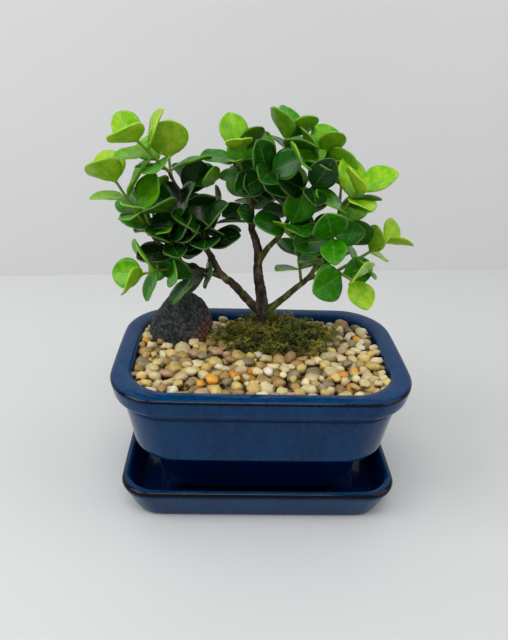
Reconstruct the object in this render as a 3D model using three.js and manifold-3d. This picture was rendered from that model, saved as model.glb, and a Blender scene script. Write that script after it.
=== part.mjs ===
// Bonsai tree in a glazed pot, standing in its drip saucer. Millimetres, +Z up, +X to the right, +Y away.
// The origin is the middle of the saucer's flat underside.
import * as THREE from "three";
import { mergeVertices } from "three/addons/utils/BufferGeometryUtils.js";
import Module from "manifold-3d";

const wasm = await Module();
wasm.setup();

// ---- driving dimensions ----
const CLEARANCE = 0.3; // air left between pieces that touch

// saucer
const SAUCER_SIDE_MARGIN = 18.5; // from the pot's base out to the saucer's rim, left and right
const SAUCER_FRONT_MARGIN = 16.3; // and at the front and back
const SAUCER_CORNER = 22;
const SAUCER_HEIGHT = 18.8;
const SAUCER_WALL = 4.2;
const SAUCER_FLOOR = 4;
const SAUCER_LIP = 1.5; // roundness of the rim
const SAUCER_FLARE = 6; // how far the rim leans out past the base

// pot
const POT_LENGTH = 155;
const POT_DEPTH = 113;
const POT_CORNER = 28;
const POT_HEIGHT = 73.8; // foot to rim
const POT_LIP = 10.5; // width of the flat rim
const POT_BAND = 11.5; // height of the rim band
const POT_WALL = 6;
const POT_FLOOR = 6;
const BODY_INSET = 5; // the body's top edge sits this far in from the rim
const BODY_LEAN = 5; // how far the body leans in from its top to its lower edge
const SKIRT_HEIGHT = 31; // lower edge of the flared body above the feet
const BASE_INSET = 12.5; // step from the body's lower edge in to the base
const FOOT_HEIGHT = 5;
const FOOT_RADIUS = 8;
const DRAIN_RADIUS = 7;
const DRAIN_SPACING = 56;

// filling
const SCREEN_SIDE = 24;
const SCREEN_THICKNESS = 1.2;
const SCREEN_HOLES = 3; // along each side
const GRAVEL_DEPTH = 7;
const GRAVEL_BELOW_RIM = 4;
const MOSS_HEIGHT = 6;
const MOSS_LENGTH = 60;
const MOSS_DEPTH = 42;
const STONE_SIZE = [37, 30, 42];
const STONE_FROM_SIDE = 33.5;
const STONE_FROM_BACK = 29.5;
const STONE_SUNK = 18; // how deep the stone's middle sits below the gravel's surface, less its half height

// tree
const TRUNK_FROM_MIDDLE = 4;
const TRUNK_FROM_BACK = 31.5;
const ROOT_BELOW_RIM = 26; // how deep the trunk starts
const LIMB_SIDES = 6;
const TWIG_SIDES = 5;
const TWIG_RADIUS = 0.8;
const LEAF_THICKNESS = 0.9;
const LEAF_BREADTH = 0.82; // breadth over length
const PETIOLE = 2;

// ---- levels worked out from the sizes ----
const footLevel = SAUCER_FLOOR + CLEARANCE;
const potTop = footLevel + POT_HEIGHT;
const baseLevel = footLevel + FOOT_HEIGHT;
const skirtLevel = footLevel + SKIRT_HEIGHT;
const potFloor = baseLevel + POT_FLOOR;
const gravelTop = potTop - GRAVEL_BELOW_RIM;
const soilTop = gravelTop - GRAVEL_DEPTH;

// ---- places and outlines worked out from the sizes ----
const skirtInset = BODY_INSET + BODY_LEAN;
const baseInset = skirtInset + BASE_INSET;
const saucerLength = POT_LENGTH - 2 * baseInset + 2 * SAUCER_SIDE_MARGIN;
const saucerDepth = POT_DEPTH - 2 * baseInset + 2 * SAUCER_FRONT_MARGIN;
const trunkPlace = [TRUNK_FROM_MIDDLE, POT_DEPTH / 2 - TRUNK_FROM_BACK];
const stonePlace = [STONE_FROM_SIDE - POT_LENGTH / 2, POT_DEPTH / 2 - STONE_FROM_BACK];

// ---- the woody tree. A limb leaves its parent at a share of the parent's length and sets off at a bearing
// and a rise, which turns evenly to the rise at its tip. In degrees: bearing 0 is along +X and 90 is away,
// and rise 90 is up ----
const LIMBS = {
  trunk: { bearing: 185, rise: [88, 78], length: 112, radius: [5, 1.4] },
  left: { parent: "trunk", share: 0.32, bearing: 195, rise: [40, 75], length: 100, radius: [3, 0.9] },
  left_low: { parent: "left", share: 0.33, bearing: 190, rise: [10, 55], length: 52, radius: [1.8, 0.8] },
  right: { parent: "trunk", share: 0.32, bearing: 340, rise: [35, 80], length: 76, radius: [2.5, 0.9] },
  right_low: { parent: "right", share: 0.45, bearing: 340, rise: [15, 25], length: 18, radius: [1.4, 0.8] },
  right_stem: { parent: "trunk", share: 0.6, bearing: 335, rise: [50, 75], length: 54, radius: [1.9, 1] },
  top_left: { parent: "trunk", share: 0.88, bearing: 190, rise: [60, 80], length: 24, radius: [1.2, 0.8] },
  top: { parent: "trunk", share: 0.98, bearing: 345, rise: [52, 40], length: 26, radius: [1.2, 0.8] },
};
const ROOT_BEARINGS = [20, 160, 215, 330];
const ROOT = { parent: "trunk", share: 0.12, rise: [-15, -45], length: 32, radius: [2.5, 1] };
const LIMB_STEP = 12;
const LIMB_WAVER = 8; // degrees that a limb swings from side to side on its way

// ---- green shoots. Each stands on a limb and carries crossed pairs of leaves:
// [limb, share of the limb, bearing, rise, twig length, leaf length, pairs of leaves] ----
const SHOOTS = {
  far_left: ["left_low", 1, 190, 60, 29, 21, 3],
  left_front: ["left_low", 0.9, 240, 65, 17, 18, 2],
  left_rear: ["left_low", 0.8, 140, 75, 20, 18, 2],
  left_mid: ["left_low", 0.45, 205, -5, 24, 20, 3],
  left_over_stone: ["left_low", 0.15, 210, 0, 13, 20, 2],
  left_dark_low: ["left_low", 0.6, 265, 55, 15, 18, 3],
  left_dark_front: ["left", 0.5, 250, 60, 18, 21, 3],
  left_dark_mid: ["left", 0.62, 210, 45, 22, 20, 3],
  left_dark_right: ["left", 0.6, 20, 45, 12, 18, 2],
  left_dark_high: ["left", 0.8, 80, 25, 15, 18, 3],
  top_left: ["left", 1, 210, 45, 22, 20, 3],
  top_left_up: ["left", 0.97, 120, 75, 9, 20, 2],
  cup: ["top_left", 1, 260, 70, 9, 18, 2],
  cup_low: ["top_left", 0.7, 195, 5, 12, 16, 1],
  cup_side: ["top_left", 0.95, 60, 65, 9, 15, 1],
  crown_mid: ["trunk", 1, 240, 55, 15, 12, 2],
  crown_right: ["top", 0.35, 290, 20, 15, 18, 3],
  crown_low: ["trunk", 0.97, 330, 10, 12, 17, 2],
  top: ["top", 1, 30, 60, 9, 19, 3],
  top_front: ["top", 0.95, 320, 10, 8, 20, 1],
  right_top: ["right_stem", 1, 20, 60, 17, 18, 3],
  right_hang: ["right_stem", 0.9, 290, 20, 13, 17, 2],
  node_leaves: ["right_stem", 0.45, 300, 35, 10, 19, 2],
  stem_leaves: ["trunk", 0.83, 275, 20, 6, 12, 1],
  right_cluster: ["right", 1, 310, 55, 17, 20, 3],
  right_cluster_up: ["right", 0.97, 80, 65, 17, 20, 2],
  right_under: ["right", 0.85, 260, 10, 13, 19, 2],
  right_low_left: ["right", 0.4, 150, 80, 23, 19, 3],
  right_low_up: ["right", 0.5, 40, 30, 10, 14, 1],
  right_end_up: ["right_low", 0.6, 120, 65, 14, 20, 2],
  right_end: ["right_low", 1, 295, 0, 14, 20, 2],
  right_tip: ["right_low", 1, 10, 30, 30, 16, 3],
  back_left: ["left", 0.5, 110, 30, 18, 19, 2],
  back_left_low: ["left_low", 0.5, 110, 15, 18, 19, 2],
  back_mid: ["trunk", 0.85, 100, 15, 18, 18, 2],
  back_right: ["right_stem", 0.6, 80, 20, 18, 19, 2],
  back_right_low: ["right", 0.85, 60, 5, 20, 18, 2],
  back_top: ["top", 0.4, 90, 10, 16, 18, 2],
};
const PAIR_TURN = 90; // each pair stands crosswise to the pair below it
const SPREAD = [72, 38]; // degrees between a leaf and its twig, lowest pair to tip pair
const TWIST = 25; // most degrees that a twig's pairs are turned about it
const FIRST_PAIR = 0.35; // share of the twig below the lowest pair
const LEAF_VARIETY = 0.12; // how much leaves differ in length
const LIGHT_TURN = 0.35; // how far the upper faces turn from the twig's tip to the sky

// ---- solids ----
function toSolid(geometry) {
  const bare = geometry.index ? geometry.toNonIndexed() : geometry.clone();
  bare.deleteAttribute("normal");
  bare.deleteAttribute("uv");
  const merged = mergeVertices(bare, 1e-4);
  return new wasm.Manifold(new wasm.Mesh({
    numProp: 3,
    vertProperties: merged.attributes.position.array,
    triVerts: new Uint32Array(merged.index.array),
  }));
}

function toGeometry(solid) {
  const mesh = solid.getMesh();
  const geometry = new THREE.BufferGeometry();
  geometry.setAttribute("position", new THREE.BufferAttribute(new Float32Array(mesh.vertProperties), 3));
  geometry.setIndex(new THREE.BufferAttribute(new Uint32Array(mesh.triVerts), 1));
  return geometry;
}

const joined = (solids) => solids.reduce((all, next) => all.add(next));

function largestPart(solid) {
  const parts = solid.decompose();
  return parts.reduce((most, part) => (part.volume() > most.volume() ? part : most));
}

// A closed skin through rings of points, all rings with the same count, from the lowest ring to the highest.
function skin(rings) {
  const count = rings[0].length;
  const points = rings.flat();
  const faces = [];
  for (let level = 0; level + 1 < rings.length; level++) {
    for (let i = 0; i < count; i++) {
      const j = (i + 1) % count;
      const [a, b] = [level * count + i, level * count + j];
      const [c, d] = [a + count, b + count];
      faces.push(a, b, d, a, d, c);
    }
  }
  const lowest = 0;
  const highest = (rings.length - 1) * count;
  for (let i = 1; i + 1 < count; i++) {
    faces.push(lowest, lowest + i + 1, lowest + i);
    faces.push(highest, highest + i, highest + i + 1);
  }
  const geometry = new THREE.BufferGeometry();
  geometry.setAttribute("position", new THREE.Float32BufferAttribute(points.flat(), 3));
  geometry.setIndex(faces);
  return geometry;
}

// One level outline: a rectangle with rounded corners, anticlockwise.
const CORNER_STEPS = 5;
function roundedRing(length, depth, corner, z) {
  const radius = Math.min(corner, length / 2 - 1, depth / 2 - 1);
  const centres = [[1, 1], [-1, 1], [-1, -1], [1, -1]];
  return centres.flatMap(([sx, sy], quarter) =>
    Array.from({ length: CORNER_STEPS }, (_, step) => {
      const angle = (quarter + step / (CORNER_STEPS - 1)) * Math.PI / 2;
      const x = sx * (length / 2 - radius) + radius * Math.cos(angle);
      const y = sy * (depth / 2 - radius) + radius * Math.sin(angle);
      return [x, y, z];
    }));
}

// A solid of level outlines, each given as [inset from the full length and depth, z].
function tub(length, depth, corner, levels) {
  const least = 6;
  return toSolid(skin(levels.map(([inset, z]) =>
    roundedRing(length - 2 * inset, depth - 2 * inset, Math.max(corner - inset, least), z))));
}

function upright(radius, height, sides, x, y, z) {
  const geometry = new THREE.CylinderGeometry(radius, radius, height, sides);
  geometry.rotateX(Math.PI / 2);
  geometry.translate(x, y, z + height / 2);
  return toSolid(geometry);
}

// ---- saucer ----
function saucer() {
  const lip = SAUCER_LIP;
  const bodyOf = tub(saucerLength, saucerDepth, SAUCER_CORNER, [
    [SAUCER_FLARE + 1, 0], [SAUCER_FLARE, 1.2], [SAUCER_FLARE * 0.35, SAUCER_HEIGHT * 0.6],
    [0.2, SAUCER_HEIGHT - 2 * lip], [0, SAUCER_HEIGHT - lip], [lip, SAUCER_HEIGHT]]);
  const hollow = tub(saucerLength, saucerDepth, SAUCER_CORNER, [
    [SAUCER_FLARE + SAUCER_WALL + 2, SAUCER_FLOOR], [SAUCER_FLARE + SAUCER_WALL, SAUCER_FLOOR + 1.5],
    [SAUCER_WALL + 0.3, SAUCER_HEIGHT - lip], [SAUCER_WALL - lip, SAUCER_HEIGHT + 1]]);
  return bodyOf.subtract(hollow);
}

// ---- pot ----
const bandLevel = potTop - POT_BAND;
const cavityInset = baseInset + POT_WALL;

// How far the hollow's wall stands in from the rim's outline, level by level.
const shoulder = skirtLevel + POT_WALL;
const CAVITY_MARKS = [[potFloor, cavityInset + 1], [shoulder - 3, cavityInset],
  [shoulder + 3, skirtInset + POT_WALL], [bandLevel, BODY_INSET + POT_WALL],
  [potTop - 2, POT_LIP], [potTop + 1, POT_LIP - 1]];
function cavityInsetAt(z) {
  const next = CAVITY_MARKS.findIndex(([level]) => level >= z);
  if (next <= 0) return CAVITY_MARKS.at(next)[1];
  const [[z0, i0], [z1, i1]] = [CAVITY_MARKS[next - 1], CAVITY_MARKS[next]];
  return i0 + (i1 - i0) * (z - z0) / (z1 - z0);
}

// The hollow's own shape from one level to another, drawn in by the gap.
function cavity(gap, floor, top) {
  const between = CAVITY_MARKS.map(([level]) => level).filter((z) => z > floor + 0.5 && z < top - 0.5);
  const levels = [floor, ...between, top].map((z) => [cavityInsetAt(z) + gap, z]);
  return tub(POT_LENGTH, POT_DEPTH, POT_CORNER, levels);
}

const feetPlaces = [[1, 1], [-1, 1], [-1, -1], [1, -1]].map(([sx, sy]) => [
  sx * (POT_LENGTH / 2 - baseInset - FOOT_RADIUS - 2), sy * (POT_DEPTH / 2 - baseInset - FOOT_RADIUS - 2)]);
const drainPlaces = [-DRAIN_SPACING / 2, DRAIN_SPACING / 2];

function pot() {
  const shell = tub(POT_LENGTH, POT_DEPTH, POT_CORNER, [
    [baseInset, baseLevel], [baseInset - 1, skirtLevel - 2], [skirtInset + 1.5, skirtLevel],
    [skirtInset, skirtLevel + 2], [BODY_INSET, bandLevel - 3], [BODY_INSET + 1.2, bandLevel - 1.5],
    [3, bandLevel], [1.2, bandLevel + 3],
    [0, potTop - 3], [0.6, potTop - 1], [2, potTop]]);
  const feet = feetPlaces.map(([x, y]) => upright(FOOT_RADIUS, FOOT_HEIGHT + 2, 10, x, y, footLevel));
  const holes = drainPlaces.map((x) => upright(DRAIN_RADIUS, POT_FLOOR + 4, 16, x, 0, baseLevel - 2));
  return joined([shell, ...feet]).subtract(cavity(0, potFloor, potTop + 1)).subtract(joined(holes));
}

// ---- drain screens: a square of plastic net over each hole ----
function block(length, depth, height, x, y, z) {
  const geometry = new THREE.BoxGeometry(length, depth, height);
  geometry.translate(x, y, z);
  return toSolid(geometry);
}

function drainScreen(x) {
  const level = potFloor + CLEARANCE + SCREEN_THICKNESS / 2;
  const pitch = SCREEN_SIDE / (SCREEN_HOLES + 1);
  const opening = pitch * 0.6;
  const offsets = Array.from({ length: SCREEN_HOLES }, (_, i) => (i - (SCREEN_HOLES - 1) / 2) * pitch);
  const openings = offsets.flatMap((dx) => offsets.map((dy) =>
    block(opening, opening, 2 * SCREEN_THICKNESS, x + dx, dy, level)));
  return block(SCREEN_SIDE, SCREEN_SIDE, SCREEN_THICKNESS, x, 0, level).subtract(joined(openings));
}

// ---- tree ----
const trunkFoot = new THREE.Vector3(...trunkPlace, potTop - ROOT_BELOW_RIM);

const heading = (bearing, rise) => {
  const [b, r] = [bearing, rise].map(THREE.MathUtils.degToRad);
  return new THREE.Vector3(Math.cos(b) * Math.cos(r), Math.sin(b) * Math.cos(r), Math.sin(r));
};

// The point at a share of a limb's length.
function spotOn({ points }, share) {
  const place = share * (points.length - 1);
  const from = Math.min(Math.floor(place), points.length - 2);
  const rest = place - from;
  return points[from].clone().lerp(points[from + 1], rest);
}

// Walks a limb from its start, turning evenly and wavering a little.
function grow(start, { bearing, rise, length, radius }) {
  const steps = Math.max(Math.round(length / LIMB_STEP), 2);
  const points = [start.clone()];
  for (let step = 0; step < steps; step++) {
    const share = (step + 0.5) / steps;
    const swing = LIMB_WAVER * Math.sin(2.4 * step + bearing);
    const way = heading(bearing + swing, rise[0] + (rise[1] - rise[0]) * share + swing);
    points.push(points[step].clone().addScaledVector(way, length / steps));
  }
  const radii = points.map((_, step) => radius[0] + (radius[1] - radius[0]) * (step / steps) ** 0.7);
  return { points, radii };
}

function growTree() {
  const grown = {};
  for (const [name, habit] of Object.entries(LIMBS)) {
    const start = habit.parent ? spotOn(grown[habit.parent], habit.share) : trunkFoot;
    grown[name] = grow(start, habit);
  }
  ROOT_BEARINGS.forEach((bearing, number) => {
    grown[`root_${number}`] = grow(spotOn(grown[ROOT.parent], ROOT.share), { ...ROOT, bearing });
  });
  return grown;
}

// A round rod along points, its radius changing from point to point; swell adds to it all along.
function limb({ points, radii }, sides, swell = 0) {
  const curve = new THREE.CatmullRomCurve3(points, false, "centripetal");
  const { normals, binormals } = curve.computeFrenetFrames(points.length - 1, false);
  const rings = points.map((centre, step) => Array.from({ length: sides }, (_, i) => {
    const angle = i / sides * 2 * Math.PI;
    const spoke = normals[step].clone().multiplyScalar(Math.cos(angle));
    spoke.addScaledVector(binormals[step], Math.sin(angle)).multiplyScalar(radii[step] + swell);
    return centre.clone().add(spoke).toArray();
  }));
  return toSolid(skin(rings));
}

// The crossed pairs of leaves on a twig: for each leaf its root, its frame and its length.
function leavesOf(start, axis, twig, leafLength, pairs) {
  const level = new THREE.Vector3(-axis.y, axis.x, 0).normalize();
  const steep = new THREE.Vector3().crossVectors(axis, level);
  const leaves = [];
  for (let pair = 0; pair < pairs; pair++) {
    const share = pairs === 1 ? 1 : pair / (pairs - 1);
    const root = start.clone().addScaledVector(axis, twig * (FIRST_PAIR + (1 - FIRST_PAIR) * share));
    const spread = THREE.MathUtils.degToRad(SPREAD[0] + (SPREAD[1] - SPREAD[0]) * share);
    for (const half of [0, 180]) {
      const turn = THREE.MathUtils.degToRad(pair * PAIR_TURN + half + TWIST * Math.sin(leafLength + twig));
      const out = level.clone().multiplyScalar(Math.cos(turn)).addScaledVector(steep, Math.sin(turn));
      const along = axis.clone().multiplyScalar(Math.cos(spread)).addScaledVector(out, Math.sin(spread));
      const sky = axis.clone().add(new THREE.Vector3(0, 0, LIGHT_TURN));
      const up = sky.addScaledVector(along, -sky.dot(along)).normalize();
      const across = new THREE.Vector3().crossVectors(up, along);
      const length = leafLength * (1 - LEAF_VARIETY * Math.cos(turn + 2 * pair));
      leaves.push({ root, along, across, up, length });
    }
  }
  return leaves;
}

// Half the blade's breadth at a share of its length, as a part of the full half breadth.
const bladeBreadth = (share) => Math.sin(Math.PI * share ** 1.15) ** 0.62;

// A leaf: a stalk that starts inside the twig, and a blade folded a little along its midrib.
const BLADE_STATIONS = [0.25, 0.72];
const BLADE_FOLD = 0.16; // how far the halves rise, over their breadth
const BLADE_SAG = 0.1; // how far the tip sags, over the blade's length
function leaf({ root, along, across, up, length }, swell = 0) {
  const full = length + swell;
  const thickness = LEAF_THICKNESS + 2 * swell;
  const blade = full - PETIOLE;
  const section = (distance, half, thick, lift) => {
    const middle = root.clone().addScaledVector(along, distance).addScaledVector(up, lift);
    const corner = (u, v) => middle.clone().addScaledVector(across, u * half)
      .addScaledVector(up, v * thick / 2 + Math.abs(u) * half * BLADE_FOLD).toArray();
    return [corner(0, -1), corner(1, -1), corner(1, 1), corner(0, 1), corner(-1, 1), corner(-1, -1)];
  };
  const rings = BLADE_STATIONS.map((share) => section(PETIOLE + share * blade,
    bladeBreadth(share) * blade * LEAF_BREADTH / 2 + swell, thickness, -BLADE_SAG * blade * share ** 2));
  const stalk = section(0, TWIG_RADIUS * 0.7 + swell, thickness, 0);
  const tip = section(full, 0.6 + swell, thickness, -BLADE_SAG * blade);
  return toSolid(skin([stalk, ...rings, tip]));
}

function shoot([name, share, bearing, rise, twigLength, leafLength, pairs], swell = 0) {
  const start = spotOn(limbs[name], share);
  const axis = heading(bearing, rise);
  const points = [0, 1].map((place) => start.clone().addScaledVector(axis, place * twigLength));
  const twig = limb({ points, radii: points.map(() => TWIG_RADIUS) }, TWIG_SIDES, swell);
  const leaves = leavesOf(start, axis, twigLength, leafLength, pairs);
  return joined([twig, ...leaves.map((row) => leaf(row, swell))]);
}

// ---- filling ----
function lumpyRing(inset, z, lump, turn) {
  return roundedRing(POT_LENGTH - 2 * inset, POT_DEPTH - 2 * inset, Math.max(POT_CORNER - inset, 6), z)
    .map(([x, y], i) => [x, y, z + lump * Math.sin(i * 2.4 + turn)]);
}

function gravelBed() {
  const collar = gravelTop - 2;
  const edge = cavityInsetAt(collar) + 2 * CLEARANCE;
  const rings = [[edge, 0.3], [24, 0.8], [34, 0.8], [44, 0.8]].map(([inset, lump], i) =>
    lumpyRing(inset, gravelTop - 0.8 + 0.2 * i, lump, i * 1.7));
  const bed = cavity(CLEARANCE, soilTop + CLEARANCE, collar);
  return bed.add(toSolid(skin([lumpyRing(edge, collar - 1, 0, 0), ...rings])));
}

function mossMound() {
  const [cx, cy] = trunkPlace;
  const shares = [[1, -1.5], [1, 1], [0.8, MOSS_HEIGHT * 0.6], [0.5, MOSS_HEIGHT * 0.9], [0.25, MOSS_HEIGHT]];
  const count = 18;
  const rings = shares.map(([share, height], level) => Array.from({ length: count }, (_, i) => {
    const angle = i / count * 2 * Math.PI;
    const wave = 1 + 0.09 * Math.sin(3 * angle + level) + 0.06 * Math.sin(7 * angle + 1);
    return [cx + 6 + share * wave * MOSS_LENGTH / 2 * Math.cos(angle),
      cy - 3 + share * wave * MOSS_DEPTH / 2 * Math.sin(angle),
      gravelTop + height + (level > 1 ? 0.6 * Math.sin(4 * angle + level) : 0)];
  }));
  return toSolid(skin(rings));
}

function lavaStone() {
  const geometry = mergeVertices(bareCopy(new THREE.IcosahedronGeometry(0.5, 2)), 1e-4);
  const spots = geometry.attributes.position;
  for (let i = 0; i < spots.count; i++) {
    const spot = new THREE.Vector3().fromBufferAttribute(spots, i);
    const swell = 1 + 0.07 * Math.sin(9 * spot.x + 4 * spot.z) + 0.06 * Math.cos(8 * spot.y - 5 * spot.x);
    spot.multiplyScalar(swell).multiply(new THREE.Vector3(...STONE_SIZE));
    spots.setXYZ(i, spot.x, spot.y, spot.z);
  }
  const middle = gravelTop + STONE_SIZE[2] / 2 - STONE_SUNK;
  geometry.translate(stonePlace[0], stonePlace[1], middle);
  return toSolid(geometry);
}

function bareCopy(geometry) {
  const bare = geometry.clone();
  bare.deleteAttribute("normal");
  bare.deleteAttribute("uv");
  return bare;
}

const limbs = growTree();

// ---- the pieces, each cut clear of those it grows round or lies against ----
const potSolid = pot();
const screens = drainPlaces.map(drainScreen);
const woodWith = (swell) => joined(Object.values(limbs).map((grown) => limb(grown, LIMB_SIDES, swell)));
const wood = woodWith(0);
const swollenWood = woodWith(CLEARANCE);
const stone = lavaStone().trimByPlane([0, 0, 1], soilTop + CLEARANCE);
const grownBox = (solid, grow) => {
  const { min, max } = solid.boundingBox();
  const size = min.map((value, i) => max[i] - value + 2 * grow);
  return block(...size, ...min.map((value, i) => value - grow + size[i] / 2));
};

// A copy of a rounded solid a little larger all round, scaled about its own middle.
function swollen(solid, grow) {
  const { min, max } = solid.boundingBox();
  const middle = min.map((value, i) => (value + max[i]) / 2);
  const factors = min.map((value, i) => 1 + 2 * grow / (max[i] - value));
  return solid.translate(middle.map((value) => -value)).scale(factors).translate(middle);
}

const soil = largestPart(cavity(CLEARANCE, potFloor + CLEARANCE, soilTop).subtract(swollenWood)
  .subtract(joined(screens.map((screen) => grownBox(screen, CLEARANCE)))));
const swollenStone = swollen(stone, 2 * CLEARANCE);
const moss = largestPart(mossMound().subtract(swollenWood).subtract(swollenStone));
const gravel = largestPart(gravelBed().subtract(swollenWood).subtract(swollenStone)
  .subtract(swollen(mossMound(), CLEARANCE)));

// Shoots in order: each keeps clear of the wood and of the shoots before it.
const touches = (a, b) => {
  const [p, q] = [a.boundingBox(), b.boundingBox()];
  return [0, 1, 2].every((i) => p.min[i] < q.max[i] && q.min[i] < p.max[i]);
};
const shoots = new Map();
const taken = [];
for (const [name, rows] of Object.entries(SHOOTS)) {
  const grown = taken.reduce((solid, other) => (touches(solid, other) ? solid.subtract(other) : solid),
    shoot(rows).subtract(swollenWood));
  shoots.set(name, largestPart(grown));
  taken.push(shoot(rows, CLEARANCE));
}

// ---- finishes ----
const finish = (color, roughness) => new THREE.MeshStandardMaterial({ color, roughness, metalness: 0 });
const glaze = finish("#1d4f86", 0.15);
const net = finish("#1c1c1c", 0.6);
const akadama = finish("#7a5a3c", 0.95);
const pebbles = finish("#cdb994", 0.8);
const mossGreen = finish("#6f7a26", 0.95);
const lava = finish("#3f4344", 0.95);
const bark = finish("#4a3b30", 0.9);
const leafGreen = finish("#3f7d1c", 0.35);

const tree = new THREE.Group();
function addPiece(name, solid, material) {
  const mesh = new THREE.Mesh(toGeometry(solid), material);
  mesh.name = name;
  tree.add(mesh);
}

addPiece("saucer", saucer(), glaze);
addPiece("pot", potSolid, glaze);
addPiece("drain_screen_left", screens[0], net);
addPiece("drain_screen_right", screens[1], net);
addPiece("soil", soil, akadama);
addPiece("gravel", gravel, pebbles);
addPiece("moss", moss, mossGreen);
addPiece("lava_stone", stone, lava);
addPiece("trunk_and_limbs", wood, bark);
for (const [name, solid] of shoots) addPiece(`shoot_${name}`, solid, leafGreen);

export default tree;
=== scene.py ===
"""Bonsai tree in a glazed pot on its drip saucer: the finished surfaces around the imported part."""

import math
import random

import bpy
import numpy as np
from mathutils import Matrix, Quaternion, Vector, kdtree, noise


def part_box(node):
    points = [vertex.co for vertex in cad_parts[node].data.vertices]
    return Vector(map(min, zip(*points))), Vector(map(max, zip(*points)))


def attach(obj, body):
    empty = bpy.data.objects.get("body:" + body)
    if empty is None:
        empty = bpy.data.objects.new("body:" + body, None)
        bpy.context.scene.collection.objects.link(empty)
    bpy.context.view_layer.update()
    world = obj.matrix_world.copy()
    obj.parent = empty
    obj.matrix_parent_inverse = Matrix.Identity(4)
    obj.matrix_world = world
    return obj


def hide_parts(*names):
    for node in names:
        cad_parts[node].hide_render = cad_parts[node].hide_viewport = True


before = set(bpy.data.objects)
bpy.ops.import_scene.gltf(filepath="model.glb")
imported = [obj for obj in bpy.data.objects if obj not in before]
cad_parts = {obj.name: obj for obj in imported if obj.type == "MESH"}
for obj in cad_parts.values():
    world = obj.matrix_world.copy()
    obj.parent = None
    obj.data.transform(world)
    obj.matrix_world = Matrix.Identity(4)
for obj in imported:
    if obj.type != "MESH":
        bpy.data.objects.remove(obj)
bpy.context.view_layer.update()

MM = 0.001  # the sizes below are written in millimetres and made metres by this

# ---- sizes taken from the frame, and a few of the finished surfaces' own ----
POT_LOW, POT_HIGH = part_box("pot")
POT_LENGTH = POT_HIGH.x - POT_LOW.x
POT_DEPTH = POT_HIGH.y - POT_LOW.y
POT_FOOT_CORNER = 19 * MM  # the radius round its underside; it grows with each wider ring
SAUCER_LOW, SAUCER_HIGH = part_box("saucer")
SAUCER_LENGTH = SAUCER_HIGH.x - SAUCER_LOW.x
SAUCER_DEPTH = SAUCER_HIGH.y - SAUCER_LOW.y
SAUCER_FOOT_CORNER = 16 * MM
CORNER_SEGMENTS = 7
STONE_LOW, STONE_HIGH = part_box("lava_stone")
STONE_MIDDLE, STONE_HALF = (STONE_LOW + STONE_HIGH) / 2, (STONE_HIGH - STONE_LOW) / 2
MOSS_LOW, MOSS_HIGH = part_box("moss")
MOSS_MIDDLE, MOSS_HALF = (MOSS_LOW + MOSS_HIGH) / 2, (MOSS_HIGH - MOSS_LOW) / 2
GRAVEL_TOP = POT_HIGH.z - 4 * MM
TRUNK_FOOT = Vector((4 * MM, 25 * MM, POT_HIGH.z - 26 * MM))
TWIG_RADIUS = 0.8 * MM
DRAIN_RADIUS = 7 * MM
DRAIN_SPACING = 56 * MM
FOOT_RADIUS = 8 * MM
FOOT_LENGTH = 7 * MM
FOOT_INSET = 32.5 * MM
BASE_LIFT = 5  # millimetres from the feet's ends up to the pot's underside

# ---- the woody tree, grown as the CAD grows it: parent limb, share of the parent's length, bearing, rise at
# the start and at the tip, length and radii in millimetres, then how green the bark is. Angles are in
# degrees: bearing 0 is along +X and 90 is away, and rise 90 is up ----
LIMBS = {
    "trunk": (None, 0, 185, (88, 78), 112, (5, 1.4), 0.05),
    "left": ("trunk", 0.32, 195, (40, 75), 100, (3, 0.9), 0.3),
    "left_low": ("left", 0.33, 190, (10, 55), 52, (1.8, 0.8), 0.6),
    "right": ("trunk", 0.32, 340, (35, 80), 76, (2.5, 0.9), 0.7),
    "right_low": ("right", 0.45, 340, (15, 25), 18, (1.4, 0.8), 0.8),
    "right_stem": ("trunk", 0.6, 335, (50, 75), 54, (1.9, 1), 0.85),
    "top_left": ("trunk", 0.88, 190, (60, 80), 24, (1.2, 0.8), 0.8),
    "top": ("trunk", 0.98, 345, (52, 40), 26, (1.2, 0.8), 0.8),
}
ROOT_BEARINGS = (20, 160, 215, 330)
ROOT = ("trunk", 0.12, (-15, -45), 32, (2.5, 1))
LIMB_STEP = 12  # millimetres
LIMB_WAVER = 8  # degrees

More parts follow.
